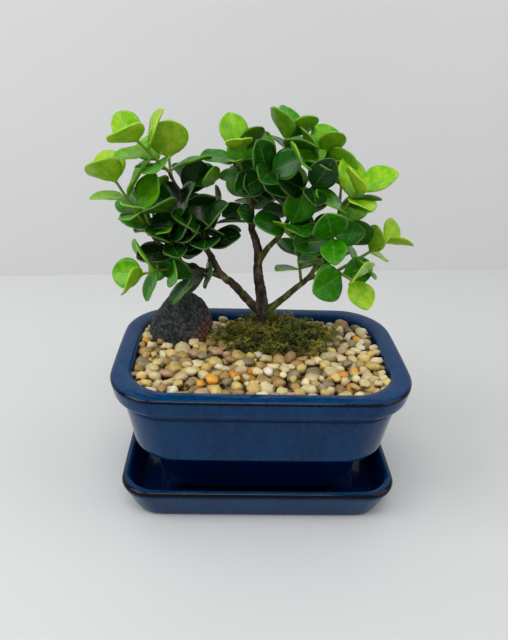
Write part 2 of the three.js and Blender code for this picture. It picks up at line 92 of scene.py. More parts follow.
# ---- green shoots: limb, share of the limb, bearing, rise, twig length, leaf length, pairs of leaves, then
# tone, which runs from 0, dark, to 1, lime: partly the leaves' age, partly painted shade deep in the crown
# and painted light on lit leaves ----
SHOOTS = {
    "far_left": ("left_low", 1, 190, 60, 29, 21, 3, 0.8),
    "left_front": ("left_low", 0.9, 240, 65, 17, 18, 2, 0.75),
    "left_rear": ("left_low", 0.8, 140, 75, 20, 18, 2, 0.55),
    "left_mid": ("left_low", 0.45, 205, -5, 24, 20, 3, 0.75),
    "left_over_stone": ("left_low", 0.15, 210, 0, 13, 20, 2, 0.3),
    "left_dark_low": ("left_low", 0.6, 265, 55, 15, 18, 3, 0.15),
    "left_dark_front": ("left", 0.5, 250, 60, 18, 21, 3, 0.15),
    "left_dark_mid": ("left", 0.62, 210, 45, 22, 20, 3, 0.15),
    "left_dark_right": ("left", 0.6, 20, 45, 12, 18, 2, 0.12),
    "left_dark_high": ("left", 0.8, 80, 25, 15, 18, 3, 0.08),
    "top_left": ("left", 1, 210, 45, 22, 20, 3, 0.85),
    "top_left_up": ("left", 0.97, 120, 75, 9, 20, 2, 0.75),
    "cup": ("top_left", 1, 260, 70, 9, 18, 2, 0.75),
    "cup_low": ("top_left", 0.7, 195, 5, 12, 16, 1, 0.5),
    "cup_side": ("top_left", 0.95, 60, 65, 9, 15, 1, 0.35),
    "crown_mid": ("trunk", 1, 240, 55, 15, 12, 2, 0.7),
    "crown_right": ("top", 0.35, 290, 20, 15, 18, 3, 0.25),
    "crown_low": ("trunk", 0.97, 330, 10, 12, 17, 2, 0.15),
    "top": ("top", 1, 30, 60, 9, 19, 3, 0.6),
    "top_front": ("top", 0.95, 320, 10, 8, 20, 1, 0.65),
    "right_top": ("right_stem", 1, 20, 60, 17, 18, 3, 0.6),
    "right_hang": ("right_stem", 0.9, 290, 20, 13, 17, 2, 0.1),
    "node_leaves": ("right_stem", 0.45, 300, 35, 10, 19, 2, 0.45),
    "stem_leaves": ("trunk", 0.83, 275, 20, 6, 12, 1, 0.35),
    "right_cluster": ("right", 1, 310, 55, 17, 20, 3, 0.85),
    "right_cluster_up": ("right", 0.97, 80, 65, 17, 20, 2, 0.65),
    "right_under": ("right", 0.85, 260, 10, 13, 19, 2, 0.5),
    "right_low_left": ("right", 0.4, 150, 80, 23, 19, 3, 0.65),
    "right_low_up": ("right", 0.5, 40, 30, 10, 14, 1, 0.15),
    "right_end_up": ("right_low", 0.6, 120, 65, 14, 20, 2, 0.7),
    "right_end": ("right_low", 1, 295, 0, 14, 20, 2, 0.75),
    "right_tip": ("right_low", 1, 10, 30, 30, 16, 3, 0.88),
    "back_left": ("left", 0.5, 110, 30, 18, 19, 2, 0.3),
    "back_left_low": ("left_low", 0.5, 110, 15, 18, 19, 2, 0.45),
    "back_mid": ("trunk", 0.85, 100, 15, 18, 18, 2, 0.25),
    "back_right": ("right_stem", 0.6, 80, 20, 18, 19, 2, 0.3),
    "back_right_low": ("right", 0.85, 60, 5, 20, 18, 2, 0.45),
    "back_top": ("top", 0.4, 90, 10, 16, 18, 2, 0.45),
}
PAIR_TURN = 90  # degrees from each pair of leaves to the next
PAIR_TWIST = 25  # degrees, the most that a whole shoot turns away from level
SPREAD = (72, 38)  # degrees between leaf and twig, at the lowest pair and at the tip
FIRST_PAIR = 0.35  # share of the twig below the lowest pair
LIGHT_TURN = 0.35  # how far blades turn up towards the light
LENGTH_VARIETY = 0.12
TIP_YOUTH = 0.22  # how much limier the tip pair is than the lowest pair

# ---- colours, as red, green and blue from 0 to 255 ----
BLUE_DEEP = (1, 40, 80)
BLUE_BODY = (1, 52, 94)
BLUE_PALE = (10, 78, 122)
# navy: pooled glaze, and painted shade on the recessed base, feet, groove and saucer floor
BLUE_POOLED_AND_SHADE = (2, 20, 60)
BREAK_BROWN = (9, 7, 12)
BARE_CLAY = (148, 110, 84)
LEAF_STEPS = [(0.0, (6, 36, 5)), (0.25, (13, 64, 6)), (0.5, (30, 104, 4)), (0.7, (64, 146, 4)),
              (0.85, (112, 176, 6)), (1.0, (160, 194, 22))]
UNDERSIDE_STEPS = [(0.0, (18, 56, 12)), (0.3, (44, 92, 18)), (0.6, (84, 136, 16)), (0.85, (120, 172, 22)),
                   (1.0, (160, 192, 44))]
BARK_STEPS = [(0.1, (38, 27, 21)), (0.6, (74, 57, 45)), (1.0, (118, 96, 76))]
GREEN_BARK_STEPS = [(0.0, (52, 56, 24)), (0.5, (92, 106, 38)), (1.0, (140, 142, 72))]
BARK_FURROW_SHADE = (20, 14, 11)
TWIG_STEPS = [(0.0, (56, 52, 26)), (0.5, (84, 104, 28)), (1.0, (136, 152, 48))]
LEAF_VEIN = (176, 196, 110)
LAVA_GREY_STEPS = [(0.0, (26, 30, 31)), (0.5, (50, 55, 55)), (1.0, (84, 89, 86))]
LAVA_RED_STEPS = [(0.0, (46, 26, 22)), (0.6, (98, 58, 46)), (1.0, (150, 104, 84))]
LAVA_PIT_SHADE = (12, 12, 13)
GRIT_STEPS = [(0.3, (40, 30, 20)), (0.6, (104, 84, 58)), (0.8, (150, 132, 100))]
SOIL_STEPS = [(0.3, (44, 28, 18)), (0.55, (112, 74, 44)), (0.75, (154, 112, 70))]
NET_STEPS = [(0.0, (18, 18, 18)), (1.0, (40, 40, 42))]
MOSS_SHADES = {  # tips, middle and shade
    "moss_shade": ((96, 104, 34), (52, 60, 20), (24, 28, 12)),
    "moss_green": ((122, 138, 34), (62, 78, 20), (18, 24, 9)),
    "moss_golden": ((190, 180, 62), (112, 112, 28), (36, 36, 12)),
}
TABLE_WHITE = (206, 207, 206)
WALL_WHITE = (214, 213, 213)
SKY_WHITE = (235, 238, 242)
PEBBLE_KINDS = {  # share of the bed, darker tone, paler tone
    "cream": (0.38, (178, 154, 102), (230, 214, 164)),
    "pale_yellow": (0.2, (174, 144, 72), (222, 196, 116)),
    "tan": (0.17, (122, 92, 48), (188, 152, 92)),
    "grey_beige": (0.1, (94, 82, 56), (160, 144, 106)),
    "amber": (0.035, (186, 124, 24), (236, 168, 48)),
    "rose": (0.04, (146, 110, 76), (202, 166, 124)),
    "white": (0.06, (204, 194, 162), (238, 230, 204)),
}


def linear(colour):
    """A colour given from 0 to 255 as the shader's own linear numbers, with alpha."""
    parts = [c / 255 for c in colour]
    return tuple(c / 12.92 if c <= 0.04045 else ((c + 0.055) / 1.055) ** 2.4 for c in parts) + (1,)


# ---- small tools for shaping ----
def deselect_all():
    if bpy.context.object and bpy.context.object.mode != "OBJECT":
        bpy.ops.object.mode_set(mode="OBJECT")
    bpy.ops.object.select_all(action="DESELECT")


def make_active(obj):
    deselect_all()
    obj.select_set(True)
    bpy.context.view_layer.objects.active = obj


def begin_edit(obj):
    make_active(obj)
    bpy.ops.object.mode_set(mode="EDIT")
    bpy.ops.mesh.select_all(action="SELECT")


def end_edit():
    bpy.ops.object.mode_set(mode="OBJECT")


def apply_modifier(obj, kind, **settings):
    make_active(obj)
    modifier = obj.modifiers.new(kind.lower(), kind)
    for name, value in settings.items():
        setattr(modifier, name, value)
    bpy.ops.object.modifier_apply(modifier=modifier.name)


def subdivide_smooth(obj, levels):
    apply_modifier(obj, "SUBSURF", levels=levels, render_levels=levels)


def settle(obj):
    """Puts the object's place into its mesh."""
    make_active(obj)
    bpy.ops.object.transform_apply(location=True, rotation=True, scale=True)


def face_outwards(obj):
    begin_edit(obj)
    bpy.ops.mesh.remove_doubles(threshold=0.001 * MM)
    bpy.ops.mesh.normals_make_consistent(inside=False)
    end_edit()


def smooth(obj, angle=None):
    make_active(obj)
    if angle is None:
        bpy.ops.object.shade_smooth()
    else:
        bpy.ops.object.shade_smooth_by_angle(angle=math.radians(angle))


def join(objects, name):
    deselect_all()
    for obj in objects:
        obj.select_set(True)
    bpy.context.view_layer.objects.active = objects[0]
    if len(objects) > 1:
        bpy.ops.object.join()
    objects[0].name = name
    objects[0].data.name = name
    return objects[0]


def move_vertices(obj, place):
    for vertex in obj.data.vertices:
        vertex.co = place(vertex.co.copy())
    obj.data.update()


def set_value(mesh, name, values):
    """A number for every vertex, which a material can read."""
    attribute = mesh.attributes.get(name) or mesh.attributes.new(name, "FLOAT", "POINT")
    count = len(mesh.vertices)
    listed = np.full(count, values, np.float32) if np.isscalar(values) else np.asarray(values, np.float32)
    attribute.data.foreach_set("value", listed)


def copy_of(form, matrix, **values):
    """A placed copy of a form, with a mesh of its own."""
    mesh = form.data.copy()
    mesh.transform(matrix)
    for name, value in values.items():
        set_value(mesh, name, value)
    obj = bpy.data.objects.new(form.name + "_copy", mesh)
    bpy.context.scene.collection.objects.link(obj)
    return obj


def remove(obj):
    bpy.data.objects.remove(obj)


def finish_piece(obj, material, slot, *nodes):
    obj.data.materials.clear()
    obj.data.materials.append(material)
    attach(obj, "root")
    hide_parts(*nodes)
    return obj


# ---- small tools for materials ----
class Shades:
    """One node tree, with short ways to add the nodes that the finishes use."""

    def __init__(self, tree):
        self.tree = tree

    def add(self, kind, wires=None, **settings):
        node = self.tree.nodes.new("ShaderNode" + kind)
        for name, value in settings.items():
            setattr(node, name, value)
        for socket, value in (wires or {}).items():
            if isinstance(value, bpy.types.NodeSocket):
                self.tree.links.new(value, node.inputs[socket])
            else:
                node.inputs[socket].default_value = value
        return node

    def add_group_end(self, which):
        return self.tree.nodes.new("NodeGroup" + which)

    def place(self):
        return self.add("TexCoord").outputs["Object"]

    def value(self, name):
        return self.add("Attribute", attribute_name=name).outputs["Fac"]

    def maths(self, operation, first, second=0.0, third=0.0, clamp=False):
        wires = {0: first, 1: second, 2: third}
        return self.add("Math", wires, operation=operation, use_clamp=clamp).outputs[0]

    def span(self, value, low, high, to_low=0.0, to_high=1.0):
        wires = {"Value": value, "From Min": low, "From Max": high, "To Min": to_low, "To Max": to_high}
        return self.add("MapRange", wires, interpolation_type="SMOOTHSTEP").outputs[0]

    def blend(self, share, first, second, kind="MIX"):
        wires = {0: share, 6: first, 7: second}  # the Mix node's sockets for colours
        return self.add("Mix", wires, data_type="RGBA", blend_type=kind).outputs[2]

    def ramp(self, value, steps):
        node = self.add("ValToRGB", {"Fac": value})
        elements = node.color_ramp.elements
        while len(elements) < len(steps):
            elements.new(0.5)
        for element, (position, colour) in zip(elements, steps):
            element.position = position
            element.color = linear(colour)
        return node.outputs["Color"]

    def group(self, made, **wires):
        return self.add("Group", wires, node_tree=made).outputs

    def bump(self, height, strength, distance):
        wires = {"Height": height, "Strength": strength, "Distance": distance}
        return self.add("Bump", wires).outputs["Normal"]


def new_group(name, inputs, outputs):
    """An empty shader group with float inputs, given with their usual values, and float outputs."""
    group = bpy.data.node_groups.new(name, "ShaderNodeTree")
    for label, usual in inputs.items():
        socket = group.interface.new_socket(label, in_out="INPUT", socket_type="NodeSocketFloat")
        socket.default_value = usual
    for label in outputs:
        group.interface.new_socket(label, in_out="OUTPUT", socket_type="NodeSocketFloat")
    shades = Shades(group)
    return group, shades, shades.add_group_end("Input"), shades.add_group_end("Output")


def make_mottle():
    """Soft patches and a finer relief, both from 0 to 1; Rise stretches them upwards."""
    usual = {"Size": 100, "Rise": 1, "Detail": 4}
    group, shades, start, end = new_group("mottle", usual, ["Patches", "Relief"])
    size, rise, detail = (start.outputs[label] for label in ("Size", "Rise", "Detail"))
    squeeze = shades.add("CombineXYZ", {"X": 1.0, "Y": 1.0, "Z": rise}).outputs[0]
    spread = shades.add("VectorMath", {0: shades.place(), 1: squeeze}, operation="MULTIPLY").outputs[0]
    wires = {"Vector": spread, "Scale": size, "Detail": detail, "Roughness": 0.6}
    broad = shades.add("TexNoise", wires).outputs["Fac"]
    fine_size = shades.maths("MULTIPLY", size, 4.0)
    fine = shades.add("TexNoise", {"Vector": spread, "Scale": fine_size, "Detail": detail}).outputs["Fac"]
    group.links.new(shades.span(broad, 0.32, 0.68), end.inputs["Patches"])
    group.links.new(fine, end.inputs["Relief"])
    return group


def make_specks():
    """Scattered round specks, 1 inside a speck; Reach is their radius as a share of their spacing."""
    group, shades, start, end = new_group("specks", {"Spacing": 0.01, "Reach": 0.1}, ["Specks"])
    per_metre = shades.maths("DIVIDE", 1.0, start.outputs["Spacing"])
    cells = shades.add("TexVoronoi", {"Vector": shades.place(), "Scale": per_metre}).outputs["Distance"]
    inner = shades.maths("MULTIPLY", start.outputs["Reach"], 0.6)
    wires = {"Value": cells, "From Min": inner, "From Max": start.outputs["Reach"],
             "To Min": 1.0, "To Max": 0.0}
    group.links.new(shades.add("MapRange", wires).outputs[0], end.inputs["Specks"])
    return group


MOTTLE = make_mottle()
SPECKS = make_specks()


def new_material(name, **constants):
    material = bpy.data.materials.new(name)
    material.use_nodes = True
    tree = material.node_tree
    tree.nodes.clear()
    shader = tree.nodes.new("ShaderNodeBsdfPrincipled")
    output = tree.nodes.new("ShaderNodeOutputMaterial")
    tree.links.new(shader.outputs[0], output.inputs[0])
    for label, value in constants.items():
        shader.inputs[label.replace("_", " ").title().replace("Ior", "IOR")].default_value = value
    return material, Shades(tree), shader


def feed(shades, shader, **wires):
    for label, socket in wires.items():
        shades.tree.links.new(socket, shader.inputs[label.replace("_", " ").title()])


def glaze_material():
    """Deep blue glaze, glossy, with soft streaks, worn to brown where it runs thin over an edge."""
    material, shades, shader = new_material("blue_glaze", specular_ior_level=0.16)
    streaks = shades.group(MOTTLE, Size=70, Rise=0.35, Detail=5)
    speckle = shades.group(MOTTLE, Size=420, Rise=0.6, Detail=3)
    pinhole_glints = shades.group(SPECKS, Spacing=0.006, Reach=0.05)["Specks"]
    blue = shades.blend(streaks["Patches"], linear(BLUE_DEEP), linear(BLUE_BODY))
    blue = shades.blend(shades.maths("MULTIPLY", speckle["Patches"], 0.22), blue, linear(BLUE_PALE))
    # painted shade: darker navy on the recessed base, feet, groove and saucer floor, partly pooled glaze
    blue = shades.blend(shades.value("pooled_glaze_and_shade"), blue, linear(BLUE_POOLED_AND_SHADE))
    ragged = shades.maths("MULTIPLY_ADD", shades.maths("SUBTRACT", speckle["Relief"], 0.5), 0.7,
                          shades.value("glaze_break"))
    worn = shades.span(ragged, 0.38, 0.62)
    glazed = shades.blend(worn, blue, linear(BREAK_BROWN))
    # pale specks: glaze pinholes, painted lighter as their glints, a painted highlight
    glazed = shades.blend(shades.maths("MULTIPLY", pinhole_glints, 0.35), glazed, linear(BLUE_PALE))
    clay = shades.span(shades.value("bare_clay"), 0.45, 0.55)
    colour = shades.blend(clay, glazed, linear(BARE_CLAY))
    rough = shades.maths("MULTIPLY_ADD", clay, 0.6, shades.span(speckle["Relief"], 0.2, 0.8, 0.04, 0.1))
    feed(shades, shader, base_color=colour, roughness=rough,
         normal=shades.bump(streaks["Relief"], 0.12, 0.5 * MM))
    return material


def pebble_material(kind, dark, pale):
    material, shades, shader = new_material("pebble_" + kind)
    grain = shades.group(MOTTLE, Size=330, Rise=1, Detail=6)
    tone = shades.maths("MULTIPLY_ADD", grain["Patches"], 0.45,
                        shades.maths("MULTIPLY", shades.value("stone_tone"), 0.6), clamp=True)
    colour = shades.ramp(tone, [(0.0, dark), (0.9, pale)])
    specks = shades.group(SPECKS, Spacing=0.0016, Reach=0.2)["Specks"]
    colour = shades.blend(shades.maths("MULTIPLY", specks, 0.25), colour, linear([c * 0.55 for c in dark]))
    # painted shade: pebbles lying lower in the bed, among the others, darkened
    low = shades.span(shades.value("stone_low"), 0.0, 1.0, 0.0, 0.65)
    colour = shades.blend(low, colour, linear([c * 0.45 for c in dark]))
    feed(shades, shader, base_color=colour, roughness=shades.span(grain["Relief"], 0.2, 0.8, 0.35, 0.6),
         normal=shades.bump(grain["Relief"], 0.35, 0.3 * MM))
    return material


def grainy_material(name, roughness, size, detail, shown, steps, strength, height):
    """A rough surface coloured by one noise and raised by its relief, up to height in millimetres."""
    material, shades, shader = new_material(name, roughness=roughness)
    grain = shades.group(MOTTLE, Size=size, Rise=1, Detail=detail)
    bump = shades.bump(grain["Relief"], strength, height * MM)
    feed(shades, shader, base_color=shades.ramp(grain[shown], steps), normal=bump)
    return material


def moss_material(name):
    material, shades, shader = new_material(name, roughness=0.85)
    patches = shades.group(MOTTLE, Size=90, Rise=1, Detail=4)
    light = shades.maths("MULTIPLY_ADD", patches["Patches"], 0.3,
                         shades.maths("MULTIPLY", shades.value("moss_tone"), 0.75), clamp=True)
    tips, middle, shade = MOSS_SHADES[name]
    colour = shades.ramp(light, [(0.05, shade), (0.45, middle), (0.95, tips)])
    feed(shades, shader, base_color=colour, normal=shades.bump(patches["Relief"], 0.3, 0.3 * MM))
    return material


def lava_material():
    material, shades, shader = new_material("lava_rock", roughness=0.92)
    broad = shades.group(MOTTLE, Size=60, Rise=1, Detail=5)
    fine = shades.group(MOTTLE, Size=520, Rise=1, Detail=6)
    grey = shades.ramp(fine["Patches"], LAVA_GREY_STEPS)
    red = shades.ramp(fine["Patches"], LAVA_RED_STEPS)
    rust = shades.maths("MULTIPLY_ADD", broad["Patches"], 0.3, shades.value("rust"))
    colour = shades.blend(shades.span(rust, 0.5, 0.85), grey, red)
    # painted shade: the pits darkened nearly to black
    pit = shades.value("pit")
    colour = shades.blend(shades.maths("MULTIPLY", pit, 0.75), colour, linear(LAVA_PIT_SHADE))
    feed(shades, shader, base_color=colour, normal=shades.bump(fine["Relief"], 0.8, 0.6 * MM))
    return material


def bark_material():
    material, shades, shader = new_material("bark", roughness=0.85)
    flakes = shades.group(MOTTLE, Size=360, Rise=0.4, Detail=6)
    broad = shades.group(MOTTLE, Size=120, Rise=0.5, Detail=4)
    brown = shades.ramp(flakes["Patches"], BARK_STEPS)
    green = shades.ramp(flakes["Patches"], GREEN_BARK_STEPS)
    share = shades.maths("MULTIPLY_ADD", broad["Patches"], 0.5, shades.value("green_bark"))
    colour = shades.blend(shades.span(share, 0.5, 1.1), brown, green)
    # painted shade: darker in the furrows between ridges
    ridge = shades.value("ridge")
    colour = shades.blend(shades.span(ridge, 0.0, 1.0, 0.45, 0.0), colour, linear(BARK_FURROW_SHADE))
    feed(shades, shader, base_color=colour, normal=shades.bump(flakes["Relief"], 0.7, 0.4 * MM))
    return material


def twig_material():
    material, shades, shader = new_material("green_twig", roughness=0.55)
    grain = shades.group(MOTTLE, Size=300, Rise=0.5, Detail=4)
    tone = shades.maths("MULTIPLY_ADD", grain["Patches"], 0.4, shades.value("twig_tone"))
    colour = shades.ramp(tone, TWIG_STEPS)
    feed(shades, shader, base_color=colour, normal=shades.bump(grain["Relief"], 0.4, 0.2 * MM))
    return material


def leaf_material():
    """Glossy leathery leaf: dark to lime by age and by painted shade and light, paler under, a painted
    highlight along the margin, midrib and faint side veins.
    """
    material, shades, shader = new_material("leaf", specular_ior_level=0.2,
                                            subsurface_weight=0.12, subsurface_scale=0.4 * MM)
    shader.inputs["Subsurface Radius"].default_value = (0.6, 1.0, 0.15)
    across, along, _ = shades.add("SeparateXYZ", {0: shades.add("UVMap").outputs[0]}).outputs
    offset = shades.maths("ABSOLUTE", shades.maths("SUBTRACT", across, 0.5))
    midrib = shades.span(offset, 0.012, 0.035, 1.0, 0.0)
    sweep = shades.maths("MULTIPLY_ADD", offset, -0.55, along)
    wave = shades.maths("SINE", shades.maths("MULTIPLY", sweep, 50.0))
    veins = shades.maths("MULTIPLY", shades.span(wave, 0.75, 1.0), shades.span(offset, 0.0, 0.42, 1.0, 0.0))
    margin = shades.maths("MAXIMUM", shades.span(offset, 0.475, 0.495), shades.span(along, 0.975, 0.995))
    mottle = shades.group(MOTTLE, Size=240, Rise=1, Detail=5)
    # the leaf's tone: its age, with painted shade on leaves deep in the crown and painted light on lit ones
    age_and_light = shades.maths("MULTIPLY_ADD", shades.maths("SUBTRACT", mottle["Patches"], 0.5), 0.16,
                       shades.value("leaf_tone"))
    top = shades.ramp(age_and_light, LEAF_STEPS)
    under = shades.ramp(age_and_light, UNDERSIDE_STEPS)
    colour = shades.blend(shades.value("leaf_under"), top, under)
    pale = shades.blend(1.0, colour, linear(LEAF_VEIN), "ADD")
    lines = shades.maths("MULTIPLY_ADD", veins, 0.05, shades.maths("MULTIPLY", midrib, 0.1))
    # painted highlight: a light line along the leaf's margin
    lines = shades.maths("MAXIMUM", lines, shades.maths("MULTIPLY", margin, 0.14))
    colour = shades.blend(lines, colour, pale)
    rough = shades.maths("MULTIPLY_ADD", shades.value("leaf_under"), 0.2,
                         shades.span(mottle["Relief"], 0.2, 0.8, 0.18, 0.28))
    height = shades.maths("MULTIPLY_ADD", veins, -0.5, mottle["Relief"])
    height = shades.maths("MULTIPLY_ADD", midrib, -0.8, height)
    feed(shades, shader, base_color=colour, roughness=rough, normal=shades.bump(height, 0.35, 0.25 * MM))
    return material


# ---- pot and saucer ----
def vessel(name, length, depth, corner, levels):
    """A closed vessel drawn up ring by ring from its underside; levels are (inset, height) in mm, then how
    much the glaze breaks there and how far it darkens for pooled glaze and painted shade, 0 to 1, where not
    0."""
    rows = [(*level, 0, 0)[:4] for level in levels]
    ring = [(length - 2 * inset * MM, depth - 2 * inset * MM, z * MM) for inset, z, _, _ in rows]
    deselect_all()
    bpy.ops.mesh.primitive_plane_add(size=1, location=(0, 0, 0))
    obj = bpy.context.object
    begin_edit(obj)
    bpy.ops.transform.resize(value=(ring[0][0], ring[0][1], 1), center_override=(0, 0, 0))
    bpy.ops.transform.translate(value=(0, 0, ring[0][2]))
    bpy.ops.mesh.bevel(affect="VERTICES", offset=corner, segments=CORNER_SEGMENTS)
    for (old_length, old_depth, low), (new_length, new_depth, high) in zip(ring, ring[1:]):
        bpy.ops.mesh.extrude_region_move(TRANSFORM_OT_translate={"value": (0, 0, high - low)})
        share = (new_length / old_length, new_depth / old_depth, 1)
        bpy.ops.transform.resize(value=share, center_override=(0, 0, high))
    end_edit()
    settle(obj)
    face_outwards(obj)
    found = {round(z * 100): (wear, pool_and_shade) for _, z, wear, pool_and_shade in rows}
    values = [found[round(v.co.z / MM * 100)] for v in obj.data.vertices]
    set_value(obj.data, "glaze_break", [wear for wear, _ in values])
    set_value(obj.data, "pooled_glaze_and_shade", [pool_and_shade for _, pool_and_shade in values])
    obj.name = name
    return obj


def bare_below(obj, level):
    """Leaves the clay unglazed below a height, where the piece stands."""
    set_value(obj.data, "bare_clay", [1.0 if v.co.z < level else 0.0 for v in obj.data.vertices])


def foot(x, y, low, high):
    deselect_all()
    bpy.ops.mesh.primitive_cylinder_add(vertices=24, radius=FOOT_RADIUS, depth=high - low,
                                        location=(x, y, (low + high) / 2))
    obj = bpy.context.object
    begin_edit(obj)
    bpy.ops.mesh.select_all(action="DESELECT")
    end_edit()
    for edge in obj.data.edges:
        ends = [obj.data.vertices[i].co.z for i in edge.vertices]
        edge.select = max(ends) < 0
    bpy.ops.object.mode_set(mode="EDIT")
    bpy.ops.mesh.select_mode(type="EDGE")
    bpy.ops.mesh.bevel(affect="EDGES", offset=1.2 * MM, segments=3)
    bpy.ops.mesh.select_mode(type="VERT")
    end_edit()
    settle(obj)
    return obj


def drill(obj, x):
    deselect_all()
    bpy.ops.mesh.primitive_cylinder_add(vertices=32, radius=DRAIN_RADIUS, depth=20 * MM,
                                        location=(x, 0, 12 * MM))
    bit = bpy.context.object
    apply_modifier(obj, "BOOLEAN", operation="DIFFERENCE", solver="EXACT", object=bit)
    remove(bit)


def make_pot(glaze):
    base = POT_LOW.z / MM + BASE_LIFT
    top = POT_HIGH.z / MM
    # a fourth number is painted shade on the recessed base and the groove under the rim band, partly pooled
    # glaze
    outside = [(24, base, 0, 1), (22.9, base + 1.2, 0, 1), (22.6, base + 5, 0, 1), (22.4, base + 21.5, 0, 1),
               (22, base + 24.9, 0, 1), (14, base + 25.7, 0, 0.8), (11.4, base + 26.5, 0.1),
               (10.4, base + 28),
               (9.7, base + 32), (7.6, base + 44), (5.7, base + 52.6), (5.3, base + 54.2),
               (5.9, base + 54.9, 0, 1), (5, base + 55.6, 0, 0.9), (4.3, base + 56.3), (4.5, base + 57),
               (3, base + 57.6, 0.05), (1.6, base + 58.8), (0.9, base + 61), (0.2, top - 3.2, 0.1),
               (0, top - 2.3, 0.4), (0.3, top - 1.4, 0.7), (1.1, top - 0.5, 0.42), (2.6, top, 0)]
    # a fourth number here is painted shade on the inside wall below the rim
    inside = [(7.9, top - 0.1), (9.6, top - 0.9), (10.4, top - 2.6, 0, 0.4), (10.8, top - 9, 0, 0.8),
              (13, top - 20), (16.4, base + 34.5), (28, base + 29.5), (28.6, base + 8), (29.5, base + 6)]
    pot = vessel("pot_glazed", POT_LENGTH, POT_DEPTH, POT_FOOT_CORNER, outside + inside)
    subdivide_smooth(pot, 2)
    drill(pot, -DRAIN_SPACING / 2)
    drill(pot, DRAIN_SPACING / 2)
    across, away = POT_LENGTH / 2 - FOOT_INSET, POT_DEPTH / 2 - FOOT_INSET
    feet = [foot(x, y, POT_LOW.z, POT_LOW.z + FOOT_LENGTH)
            for x in (-across, across) for y in (-away, away)]
    for part in feet:
        # painted shade: the feet under the pot darkened
        set_value(part.data, "pooled_glaze_and_shade", 1.0)
        bare_below(part, POT_LOW.z + 0.6 * MM)
    pot = join([pot] + feet, "pot_glazed")
    smooth(pot, 50)
    finish_piece(pot, glaze, "blue_glaze", "pot")


def make_saucer(glaze):
    top = SAUCER_HIGH.z / MM
    outside = [(7.6, 0), (6.3, 0.5), (5.6, 1.6), (3.4, 7), (1.5, 12), (0.5, top - 4.4),
               (0.1, top - 3.2, 0.15), (0, top - 2.2, 0.6), (0.4, top - 1, 0.8), (1.4, top - 0.2, 0.5),
               (2.4, top, 0.05)]
    # a fourth number here is painted shade on the saucer's inner wall and floor, under the pot
    inside = [(3.4, top - 0.3, 0, 0.1), (4.2, top - 1.4, 0, 0.4), (4.9, top - 4, 0, 0.7), (7.6, 8.5, 0, 1),
              (9.6, 5.2, 0, 1), (12.4, 4.2, 0, 1), (30, 4, 0, 1)]
    saucer = vessel("saucer_glazed", SAUCER_LENGTH, SAUCER_DEPTH, SAUCER_FOOT_CORNER, outside + inside)
    subdivide_smooth(saucer, 2)
    bare_below(saucer, 0.3 * MM)
    smooth(saucer, 60)
    finish_piece(saucer, glaze, "blue_glaze", "saucer")


# ---- gravel ----
BED_CELL = 1 * MM
BED_INSET = 10.6 * MM
BED_CORNER = 18 * MM
BED_DEPTH = 6.5 * MM
PEBBLE_PROUD = 3.4 * MM  # how far above the bed's level a pebble may reach
PEBBLE_SIZES = [2.7, 3.1, 3.5, 3.9, 4.4, 5.2]  # half lengths in millimetres
PLACES_TRIED = 14  # places tried for each pebble
MISSES_ALLOWED = 40  # pebbles in a row that find no place, before the bed counts as full
CORE = 0.8  # how much of an oval outline counts as filled, by its squared radius
OUT_OF_REACH = 1.0  # a height in metres that no pebble is laid on
GRIT_BELOW = 5 * MM


def depth_inside(x, y, length, depth, corner):
    """How far a point lies inside a rounded rectangle's outline; below 0 outside it."""
    out_x = abs(x) - (length / 2 - corner)
    out_y = abs(y) - (depth / 2 - corner)
    if max(out_x, out_y) > 0:
        return corner - math.hypot(max(out_x, 0), max(out_y, 0))
    return corner - max(out_x, out_y)


def pebble_forms(draw):
    forms = []
    for number in range(6):
        deselect_all()
        bpy.ops.mesh.primitive_ico_sphere_add(subdivisions=2, radius=1)
        form = bpy.context.object
        seed = Vector((draw.uniform(0, 50), draw.uniform(0, 50), draw.uniform(0, 50)))
        angular = 0.44 + 0.12 * (number % 3)
        move_vertices(form, lambda co: co * (1 + angular * noise.noise(co * 1.3 + seed)
                                             + 0.05 * noise.noise(co * 3 + seed)))
        smooth(form)
        form.name = f"pebble_form_{number}"
        forms.append(form)
    return forms


def stone_heights():
    """The bed's height, cell by cell; places that pebbles can't take are far above it."""
    across = np.arange(-POT_LENGTH / 2, POT_LENGTH / 2, BED_CELL)
    away = np.arange(-POT_DEPTH / 2, POT_DEPTH / 2, BED_CELL)
    heights = np.full((len(across), len(away)), GRAVEL_TOP - BED_DEPTH)
    length, depth = POT_LENGTH - 2 * BED_INSET, POT_DEPTH - 2 * BED_INSET
    for i, x in enumerate(across):
        for j, y in enumerate(away):
            u, v = (x - STONE_MIDDLE.x) / STONE_HALF.x, (y - STONE_MIDDLE.y) / STONE_HALF.y
            in_stone = u ** 2 + v ** 2 < CORE
            in_trunk = math.hypot(x - TRUNK_FOOT.x, y - TRUNK_FOOT.y) < 6 * MM
            if depth_inside(x, y, length, depth, BED_CORNER) < 0 or in_stone or in_trunk:
                heights[i, j] = OUT_OF_REACH
    return across, away, heights


